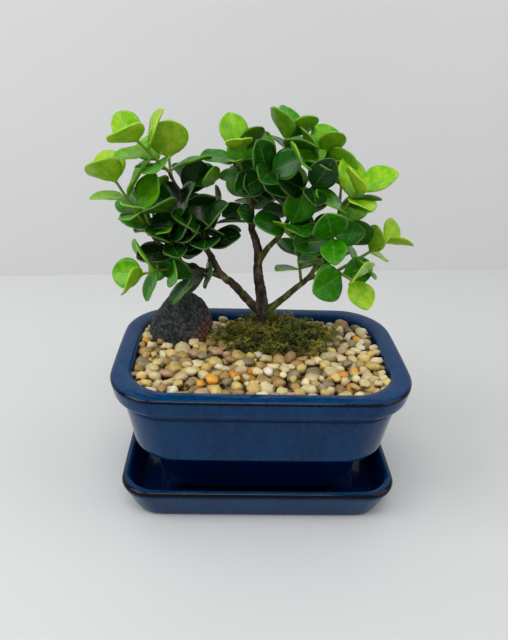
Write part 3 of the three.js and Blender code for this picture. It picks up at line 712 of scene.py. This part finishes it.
def settled_pebbles(draw):
    """Drops pebbles one by one, each into the lowest of a few tried places."""
    across, away, heights = stone_heights()
    placed = []
    misses = 0
    while misses < MISSES_ALLOWED:
        size = draw.choice(PEBBLE_SIZES) * MM * draw.uniform(0.9, 1.12)
        axes = (size, size * draw.uniform(0.68, 0.95), size * draw.uniform(0.55, 0.8))
        best = None
        for _ in range(PLACES_TRIED):
            x = draw.uniform(across[0], across[-1])
            y = draw.uniform(away[0], away[-1])
            turn = draw.uniform(0, math.pi)
            reach = int(axes[0] / BED_CELL) + 1
            i, j = int((x - across[0]) / BED_CELL), int((y - away[0]) / BED_CELL)
            rows = slice(max(i - reach, 0), i + reach + 1)
            columns = slice(max(j - reach, 0), j + reach + 1)
            dx = (across[rows] - x)[:, None]
            dy = (away[columns] - y)[None, :]
            u = (dx * math.cos(turn) + dy * math.sin(turn)) / axes[0]
            v = (-dx * math.sin(turn) + dy * math.cos(turn)) / axes[1]
            inside = u * u + v * v < CORE
            if not inside.any():
                continue
            dome = axes[2] * np.sqrt(np.clip(1 - u * u - v * v, 0, 1))
            z = (heights[rows, columns] + 0.72 * dome)[inside].max()
            if best is None or z < best[0]:
                best = (z, x, y, turn, rows, columns, inside, dome)
        if best is None or best[0] + axes[2] > GRAVEL_TOP + PEBBLE_PROUD:
            misses += 1
            continue
        misses = 0
        z, x, y, turn, rows, columns, inside, dome = best
        patch = heights[rows, columns]
        patch[inside] = np.maximum(patch[inside], (z + dome)[inside])
        placed.append((x, y, z, turn, axes))
    return placed


def make_gravel():
    draw = random.Random(11)
    forms = pebble_forms(draw)
    kinds = list(PEBBLE_KINDS)
    shares = [PEBBLE_KINDS[kind][0] for kind in kinds]
    sorted_pebbles = {kind: [] for kind in kinds}
    for x, y, z, turn, axes in settled_pebbles(draw):
        tilt = Quaternion((draw.uniform(-1, 1), draw.uniform(-1, 1), 0), draw.uniform(0, 0.3))
        place = Matrix.Translation((x, y, z)) @ tilt.to_matrix().to_4x4() @ Matrix.Rotation(turn, 4, "Z")
        place = place @ Matrix.Diagonal((*axes, 1))
        # how far the pebble lies below the bed's top, which the pebble material paints as shade
        low = min(max((GRAVEL_TOP - z) / (4 * MM), 0), 1)
        kind = draw.choices(kinds, shares)[0]
        pebble = copy_of(draw.choice(forms), place, stone_tone=draw.random(), stone_low=low)
        sorted_pebbles[kind].append(pebble)
    for kind, pebbles in sorted_pebbles.items():
        piece = join(pebbles, "gravel_" + kind)
        finish_piece(piece, pebble_material(kind, *PEBBLE_KINDS[kind][1:]), "pebbles", "gravel")
    for form in forms:
        remove(form)


def make_grit():
    """The fine grit under the pebbles: a closed lumpy slab inside the pot."""
    deselect_all()
    bpy.ops.mesh.primitive_grid_add(x_subdivisions=90, y_subdivisions=64, size=1)
    slab = bpy.context.object
    length, depth = POT_LENGTH - 2 * BED_INSET, POT_DEPTH - 2 * BED_INSET

    def on_bed(co):
        x, y = co.x * length, co.y * depth
        shrink = 1
        while depth_inside(x * shrink, y * shrink, length, depth, BED_CORNER) < 0:
            shrink -= 0.01
        x, y = x * shrink, y * shrink
        spot = Vector((x, y, 0)) / (2.2 * MM)
        return Vector((x, y, GRAVEL_TOP - GRIT_BELOW + 0.9 * MM * noise.noise(spot)))

    move_vertices(slab, on_bed)
    apply_modifier(slab, "SOLIDIFY", thickness=1.2 * MM, offset=-1)
    smooth(slab)
    slab.name = "gravel_grit"
    grit = grainy_material("grit", 0.95, 500, 6, "Relief", GRIT_STEPS, 0.9, 1)
    finish_piece(slab, grit, "pebbles", "gravel")


# ---- moss ----
SPRIGS_TRIED = 3400


def in_moss(x, y):
    """1 at the moss cushion's middle, falling to 0 along its ragged outline."""
    u, v = (x - MOSS_MIDDLE.x) / MOSS_HALF.x, (y - MOSS_MIDDLE.y) / MOSS_HALF.y
    ragged = 0.16 * noise.noise(Vector((x, y, 3)) / (9 * MM))
    return 1 - math.hypot(u, v) + ragged


def moss_height(x, y):
    lumps = 1.4 * MM * noise.noise(Vector((x, y, 7)) / (6 * MM))
    crown = (MOSS_HIGH.z - GRAVEL_TOP - 0.5 * MM) * min(max(in_moss(x, y), 0) * 1.6, 1) ** 0.7
    return GRAVEL_TOP + crown + lumps - 1.0 * MM


def make_moss_cushion():
    deselect_all()
    bpy.ops.mesh.primitive_grid_add(x_subdivisions=80, y_subdivisions=60, size=2)
    cushion = bpy.context.object

    def laid(co):
        round_off = max(abs(co.x), abs(co.y)) / max(math.hypot(co.x, co.y), 1e-6)
        x = MOSS_MIDDLE.x + co.x * round_off * MOSS_HALF.x
        y = MOSS_MIDDLE.y + co.y * round_off * MOSS_HALF.y
        return Vector((x, y, moss_height(x, y)))

    move_vertices(cushion, laid)
    apply_modifier(cushion, "SOLIDIFY", thickness=2.5 * MM, offset=-1)
    set_value(cushion.data, "moss_tone", 0.1)
    smooth(cushion)
    cushion.name = "moss_cushion"
    finish_piece(cushion, moss_material("moss_shade"), "moss", "moss")


def sprig_form(number, draw):
    """A moss stem some 1 unit tall, bent over, with small pointed side leaves."""
    bend = 0.25 + 0.2 * number
    deselect_all()
    bpy.ops.mesh.primitive_cone_add(vertices=3, radius1=0.05, radius2=0.012, depth=1, location=(0, 0, 0.5))
    stem = bpy.context.object
    settle(stem)
    begin_edit(stem)
    for level in (0.33, 0.66):
        bpy.ops.mesh.select_all(action="SELECT")
        bpy.ops.mesh.bisect(plane_co=(0, 0, level), plane_no=(0, 0, 1))
    end_edit()
    parts = [stem]
    for step in range(7):
        bpy.ops.mesh.primitive_cone_add(vertices=3, radius1=0.045, radius2=0, depth=0.3,
                                        location=(0, 0, 0.15))
        blade = bpy.context.object
        settle(blade)
        lean = Matrix.Rotation(math.radians(draw.uniform(40, 65)), 4, "Y")
        round_stem = Matrix.Rotation(step * 2.4, 4, "Z")
        blade.data.transform(Matrix.Translation((0, 0, 0.25 + 0.1 * step)) @ round_stem @ lean)
        parts.append(blade)
    form = join(parts, f"sprig_form_{number}")
    move_vertices(form, lambda co: Vector((co.x + bend * co.z ** 2, co.y, co.z * (1 - 0.3 * bend * co.z))))
    return form


def make_moss_sprigs():
    draw = random.Random(23)
    forms = [sprig_form(number, draw) for number in range(3)]
    batches = {"moss_green": [], "moss_golden": []}
    for _ in range(SPRIGS_TRIED):
        x = MOSS_MIDDLE.x + draw.uniform(-1.05, 1.05) * MOSS_HALF.x
        y = MOSS_MIDDLE.y + draw.uniform(-1.05, 1.05) * MOSS_HALF.y
        inner = in_moss(x, y)
        at_trunk = math.hypot(x - TRUNK_FOOT.x, y - TRUNK_FOOT.y) < 4 * MM
        if inner < draw.uniform(-0.12, 0.08) or at_trunk:
            continue
        tuft = noise.noise(Vector((x, y, 4)) / (6 * MM))
        if tuft < -0.28:
            continue
        length = draw.uniform(3, 7.5) * (1.1 + 1.1 * max(tuft, 0)) * MM
        lean = Matrix.Rotation(draw.uniform(0.2, 1.35), 4, "Y")
        turn = Matrix.Rotation(draw.uniform(0, 2 * math.pi), 4, "Z")
        root = Matrix.Translation((x, y, moss_height(x, y) - 0.4 * MM))
        place = root @ turn @ lean @ Matrix.Scale(length, 4)
        golden = noise.noise(Vector((x, y, 0)) / (12 * MM)) + 0.35 * (0.4 - inner) > -0.02
        copy = copy_of(draw.choice(forms), place)
        base = draw.uniform(0.0, 0.35)
        heights = [(v.co.z - moss_height(x, y)) / length for v in copy.data.vertices]
        set_value(copy.data, "moss_tone", [min(max(base + 0.8 * h, 0), 1) for h in heights])
        batches["moss_golden" if golden else "moss_green"].append(copy)
    for name, sprigs in batches.items():
        piece = join(sprigs, name)
        smooth(piece)
        finish_piece(piece, moss_material(name), "moss", "moss")
    for form in forms:
        remove(form)


# ---- lava stone ----
STONE_SIZE = Vector((37, 30, 42)) * MM
STONE_PLACE = Vector((-44 * MM, 27 * MM, GRAVEL_TOP + 3 * MM))


def make_stone():
    deselect_all()
    bpy.ops.mesh.primitive_ico_sphere_add(subdivisions=6, radius=0.5)
    stone = bpy.context.object
    pits = []

    def shaped(co):
        swell = 1 + 0.07 * math.sin(9 * co.x + 4 * co.z) + 0.06 * math.cos(8 * co.y - 5 * co.x)
        swell += 0.03 * noise.noise(co * 6) + 0.02 * noise.noise(co * 15) + 0.014 * noise.noise(co * 34)
        distances, _ = noise.voronoi(co * 17)
        size = 0.25 + 0.2 * noise.noise(co * 5 + Vector((9, 4, 2)))
        pit = max(0.0, 1 - distances[0] / max(size, 0.05))
        pits.append(min(pit * 2, 1))
        swell -= 0.045 * min(pit * 1.6, 1)
        return Vector((co.x * STONE_SIZE.x, co.y * STONE_SIZE.y, co.z * STONE_SIZE.z)) * swell + STONE_PLACE

    move_vertices(stone, shaped)
    # the pits, which the lava material paints dark as painted shade
    set_value(stone.data, "pit", pits)
    rust = []
    for vertex in stone.data.vertices:
        across = (vertex.co.x - STONE_PLACE.x) / STONE_SIZE.x
        side = across - 0.75 * (vertex.co.z - STONE_PLACE.z) / STONE_SIZE.z
        rust.append(min(max(0.4 + 1.4 * (side - 0.1), 0), 1))
    set_value(stone.data, "rust", rust)
    smooth(stone)
    stone.name = "lava_stone_surface"
    finish_piece(stone, lava_material(), "lava_rock", "lava_stone")


# ---- wood ----
BARK_VOXEL = 0.45 * MM
OLD_BARK_RELIEF = 0.26  # share of a limb's radius
YOUNG_BARK_RELIEF = 0.1


def rounded_path(points, steps=8):
    """Points along a smooth curve through the given ones (Catmull-Rom)."""
    ends = [points[0] * 2 - points[1], *points, points[-1] * 2 - points[-2]]
    path = []
    for a, b, c, d in zip(ends, ends[1:], ends[2:], ends[3:]):
        for step in range(steps):
            t = step / steps
            path.append(0.5 * ((b * 2) + (c - a) * t + (a * 2 - b * 5 + c * 4 - d) * t * t
                               + (b * 3 - a - c * 3 + d) * t ** 3))
    return path + [points[-1]]


def rod(name, points, radii, sides):
    """A closed round rod along points, its radius changing from point to point."""
    curve = bpy.data.curves.new(name, "CURVE")
    curve.dimensions = "3D"
    curve.bevel_depth = 1
    curve.bevel_resolution = max(sides // 4 - 1, 0)
    curve.use_fill_caps = True
    spline = curve.splines.new("POLY")
    spline.points.add(len(points) - 1)
    for spot, point, radius in zip(spline.points, points, radii):
        spot.co = (*point, 1)
        spot.radius = radius
    obj = bpy.data.objects.new(name, curve)
    bpy.context.scene.collection.objects.link(obj)
    make_active(obj)
    bpy.ops.object.convert(target="MESH")
    obj = bpy.context.object
    face_outwards(obj)
    return obj


def heading(bearing, rise):
    b, r = math.radians(bearing), math.radians(rise)
    return Vector((math.cos(b) * math.cos(r), math.sin(b) * math.cos(r), math.sin(r)))


def spot_on(points, share):
    place = share * (len(points) - 1)
    first = min(int(place), len(points) - 2)
    return points[first].lerp(points[first + 1], place - first)


def grow(start, bearing, rise, length, radius):
    """Walk a limb from its start, turning evenly and wavering a little: points and radii."""
    steps = max(math.floor(length / LIMB_STEP + 0.5), 2)
    points = [start.copy()]
    for step in range(steps):
        share = (step + 0.5) / steps
        swing = LIMB_WAVER * math.sin(2.4 * step + bearing)
        way = heading(bearing + swing, rise[0] + (rise[1] - rise[0]) * share + swing)
        points.append(points[-1] + way * (length / steps) * MM)
    radii = [(radius[0] + (radius[1] - radius[0]) * (step / steps) ** 0.7) * MM for step in range(steps + 1)]
    return points, radii


def grow_tree():
    """Every limb and root by name, each with its points, radii and how green its bark is."""
    grown = {}
    for name, (parent, share, bearing, rise, length, radius, green) in LIMBS.items():
        start = spot_on(grown[parent][0], share) if parent else TRUNK_FOOT
        grown[name] = (*grow(start, bearing, rise, length, radius), green)
    parent, share, rise, length, radius = ROOT
    for number, bearing in enumerate(ROOT_BEARINGS):
        start = spot_on(grown[parent][0], share)
        grown[f"root_{number}"] = (*grow(start, bearing, rise, length, radius), 0)
    return grown


def make_wood():
    rods, tree_points = [], []
    for name, (stations, widths, green) in grow_tree().items():
        rows = rounded_path([Vector((*point, width)) for point, width in zip(stations, widths)])
        points, radii = [row.xyz for row in rows], [row.w for row in rows]
        rods.append(rod("limb_" + name, points, radii, 16))
        tree_points += [(point, radius, green) for point, radius in zip(points, radii)]
    wood = join(rods, "trunk_and_limbs_bark")
    apply_modifier(wood, "REMESH", mode="VOXEL", voxel_size=BARK_VOXEL)
    apply_modifier(wood, "SMOOTH", factor=0.5, iterations=6)
    finder = kdtree.KDTree(len(tree_points))
    for index, (point, _, _) in enumerate(tree_points):
        finder.insert(point, index)
    finder.balance()
    greens, ridges, moved = [], [], []
    for vertex in wood.data.vertices:
        _, index, _ = finder.find(vertex.co)
        _, radius, green = tree_points[index]
        greens.append(green)
        spot = Vector((vertex.co.x, vertex.co.y, vertex.co.z * 0.3)) / (1.1 * MM)
        ridge = 1 - abs(2 * noise.noise(spot))
        knots = noise.noise(vertex.co / (3.4 * MM))
        ridges.append(min(max(ridge, 0), 1))
        depth = radius * (OLD_BARK_RELIEF if green < 0.5 else YOUNG_BARK_RELIEF)
        moved.append(vertex.co + vertex.normal * depth * (ridge - 0.55 + 0.9 * knots))
    for vertex, place in zip(wood.data.vertices, moved):
        vertex.co = place
    set_value(wood.data, "green_bark", greens)
    set_value(wood.data, "ridge", ridges)
    smooth(wood)
    finish_piece(wood, bark_material(), "bark", "trunk_and_limbs")


# ---- shoots: a green twig and its leaves ----
LEAF_ROWS = 14
LEAF_COLUMNS = 8
STALK_SHARE = 0.08
STALK_HALF = 0.026
LEAF_THICKNESS = 0.042


def leaf_half_breadth(share, breadth, blunt):
    if share < STALK_SHARE:
        return STALK_HALF
    blade = (share - STALK_SHARE) / (1 - STALK_SHARE)
    rounded = max(math.sin(math.pi * min(blade, 0.999) ** blunt), 0) ** 0.58
    return max(STALK_HALF, breadth / 2 * rounded)


def leaf_form(name, breadth, blunt, fold, sag, wave):
    """A leaf 1 unit long along X, upper face towards +Z, with a stalk, a folded blade and a wavy margin."""
    deselect_all()
    bpy.ops.mesh.primitive_grid_add(x_subdivisions=LEAF_ROWS, y_subdivisions=LEAF_COLUMNS, size=1)
    leaf = bpy.context.object

    def shaped(co):
        turn = co.x + 0.5
        share = 0.5 * (turn + 0.5 - 0.5 * math.cos(math.pi * turn))
        across = 2 * co.y
        half = leaf_half_breadth(share, breadth, blunt)
        open_share = min(max((share - STALK_SHARE) / 0.25, 0), 1)
        lift = fold * abs(across) ** 1.4 * half - sag * share ** 2
        lift += wave * half * abs(across) ** 2 * math.sin(9 * share + (2 if across > 0 else 0)) * open_share
        return Vector((share, across * half, lift))

    move_vertices(leaf, shaped)
    for spot in leaf.data.uv_layers.active.data:
        spot.uv = (spot.uv.y, spot.uv.x)
    upper = len(leaf.data.vertices)
    apply_modifier(leaf, "SOLIDIFY", thickness=LEAF_THICKNESS, offset=0)
    set_value(leaf.data, "leaf_under", [0 if v.index < upper else 1 for v in leaf.data.vertices])
    smooth(leaf)
    leaf.name = name
    return leaf


def leaves_of(start, axis, twig, leaf_length, pairs):
    """The crossed pairs of leaves on a twig: each leaf's frame at its root, its length, its pair's share."""
    level = Vector((-axis.y, axis.x, 0)).normalized()
    steep = axis.cross(level)
    leaves = []
    for pair in range(pairs):
        share = 1 if pairs == 1 else pair / (pairs - 1)
        root = start + axis * (twig * (FIRST_PAIR + (1 - FIRST_PAIR) * share)) * MM
        spread = math.radians(SPREAD[0] + (SPREAD[1] - SPREAD[0]) * share)
        for half in (0, 180):
            turn = math.radians(pair * PAIR_TURN + half + PAIR_TWIST * math.sin(leaf_length + twig))
            out = level * math.cos(turn) + steep * math.sin(turn)
            along = axis * math.cos(spread) + out * math.sin(spread)
            sky = axis + Vector((0, 0, LIGHT_TURN))
            up = (sky - along * sky.dot(along)).normalized()
            frame_at_root = Matrix((along, up.cross(along), up)).transposed().to_4x4()
            length = leaf_length * (1 - LENGTH_VARIETY * math.cos(turn + 2 * pair))
            leaves.append((Matrix.Translation(root) @ frame_at_root, length, share))
    return leaves


def make_shoots():
    forms = [leaf_form("leaf_broad", 0.84, 0.98, 0.2, 0.1, 0.04),
             leaf_form("leaf_round", 0.9, 0.92, 0.15, 0.06, 0.06),
             leaf_form("leaf_oval", 0.78, 1.02, 0.26, 0.12, 0.05)]
    leaf_finish = leaf_material()
    twig_finish = twig_material()
    limbs = grow_tree()
    for order, (name, row) in enumerate(SHOOTS.items()):
        limb_name, share, bearing, rise, twig_length, leaf_length, pairs, tone = row
        start = spot_on(limbs[limb_name][0], share)
        axis = heading(bearing, rise)
        path = [start + axis * (twig_length * place) * MM for place in (0, 0.25, 0.5, 0.75, 1)]
        radii = [TWIG_RADIUS * (1.1 - 0.05 * step) for step in range(len(path))]
        twig = rod("twig_" + name, path, radii, 8)
        set_value(twig.data, "twig_tone", tone)
        smooth(twig)
        finish_piece(twig, twig_finish, "leaf_and_twig", "shoot_" + name)
        blades = []
        leaves = leaves_of(start, axis, twig_length, leaf_length, pairs)
        for number, (place, length, youth) in enumerate(leaves):
            place = place @ Matrix.Scale(length * MM, 4)
            # each leaf's tone: age, with painted shade and light
            shade = min(max(tone + TIP_YOUTH * (youth - 0.5) + 0.08 * math.sin(5 * number + order), 0), 1)
            blades.append(copy_of(forms[(order + number) % len(forms)], place, leaf_tone=shade))
        foliage = join(blades, "leaves_" + name)
        finish_piece(foliage, leaf_finish, "leaf_and_twig", "shoot_" + name)
    for form in forms:
        remove(form)


# ---- pieces kept from the frame ----
def finish_cad_nodes():
    soil = grainy_material("soil_mix", 0.97, 260, 6, "Relief", SOIL_STEPS, 0.8, 1)
    net = grainy_material("plastic_net", 0.5, 900, 3, "Patches", NET_STEPS, 0.3, 0.1)
    finishes = {"soil": soil, "drain_screen_left": net, "drain_screen_right": net}
    for name, material in finishes.items():
        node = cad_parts[name]
        node.data.materials.clear()
        node.data.materials.append(material)


# ---- stage, light and camera ----
WALL_POINT = Vector((7.6, 330, 0)) * MM
WALL_TURN = math.radians(5.56)
STAGE_SIZE = 6  # metres
CAMERA_PLACE = Vector((-16.5, -312.5, 237.5)) * MM
CAMERA_ANGLES = (24.5, -2.3, 2)  # degrees of pitch, yaw and roll
CAMERA_LENS = 36
CAMERA_SENSOR = 36
SKY_STRENGTH = 0.52
LIGHTS = {  # place, what it faces, its two sides in metres, and its power in watts
    "window_left": ((-0.75, -0.25, 0.75), (0, 0, 0.08), (0.6, 0.6), 4.8),
    "ceiling": ((0.1, 0.1, 1.1), (0, 0, 0), (1.0, 1.0), 1.6),
    "fill_right": ((0.8, -0.2, 0.6), (0, 0, 0.08), (0.7, 0.7), 2.4),
    "softbox_front": ((-0.06, -0.38, 0.8), (-0.02, 0, 0.06), (0.5, 0.22), 2.0),
}


def paper_material(name, colour):
    material, shades, shader = new_material(name, roughness=0.6)
    soft = shades.group(MOTTLE, Size=3, Rise=1, Detail=2)
    lighter = [min(c * 1.01, 255) for c in colour]
    feed(shades, shader, base_color=shades.ramp(soft["Patches"], [(0.0, colour), (1.0, lighter)]))
    return material


def make_stage():
    deselect_all()
    bpy.ops.mesh.primitive_plane_add(size=STAGE_SIZE, location=(0, 0, -0.05 * MM))
    floor = bpy.context.object
    floor.name = "table_top"
    floor.data.materials.append(paper_material("table_white", TABLE_WHITE))
    bpy.ops.mesh.primitive_plane_add(size=STAGE_SIZE, location=WALL_POINT + Vector((0, 0, 2.9)),
                                     rotation=(math.radians(90), 0, WALL_TURN))
    wall = bpy.context.object
    wall.name = "back_wall"
    wall.data.materials.append(paper_material("wall_white", WALL_WHITE))


def soft_light(name, place, aim, size, power):
    light = bpy.data.lights.new(name, "AREA")
    light.shape = "RECTANGLE"
    light.size, light.size_y = size
    light.energy = power
    obj = bpy.data.objects.new(name, light)
    bpy.context.scene.collection.objects.link(obj)
    obj.location = place
    obj.rotation_euler = (Vector(aim) - Vector(place)).to_track_quat("-Z", "Y").to_euler()


def make_lights():
    world = bpy.data.worlds.new("studio")
    bpy.context.scene.world = world
    world.use_nodes = True
    background = world.node_tree.nodes["Background"]
    background.inputs["Color"].default_value = linear(SKY_WHITE)
    background.inputs["Strength"].default_value = SKY_STRENGTH
    for name, (place, aim, size, power) in LIGHTS.items():
        soft_light(name, place, aim, size, power)


def make_camera():
    pitch, yaw, roll = (math.radians(angle) for angle in CAMERA_ANGLES)
    back = Vector((math.sin(yaw) * math.cos(pitch), -math.cos(yaw) * math.cos(pitch), math.sin(pitch)))
    level = (-back).cross(Vector((0, 0, 1))).normalized()
    up = level.cross(-back)
    right = level * math.cos(roll) + up * math.sin(roll)
    top = up * math.cos(roll) - level * math.sin(roll)
    data = bpy.data.cameras.new("camera")
    data.lens = CAMERA_LENS
    data.sensor_width = CAMERA_SENSOR
    data.clip_start = 0.01
    camera = bpy.data.objects.new("camera", data)
    turn = Matrix((right, top, back)).transposed().to_4x4()
    camera.matrix_world = Matrix.Translation(CAMERA_PLACE) @ turn
    bpy.context.scene.collection.objects.link(camera)
    bpy.context.scene.camera = camera


bpy.context.scene.view_settings.view_transform = "Standard"
make_camera()
glaze = glaze_material()
make_pot(glaze)
make_saucer(glaze)
make_grit()
make_gravel()
make_moss_cushion()
make_moss_sprigs()
make_stone()
make_wood()
make_shoots()
finish_cad_nodes()
make_stage()
make_lights()
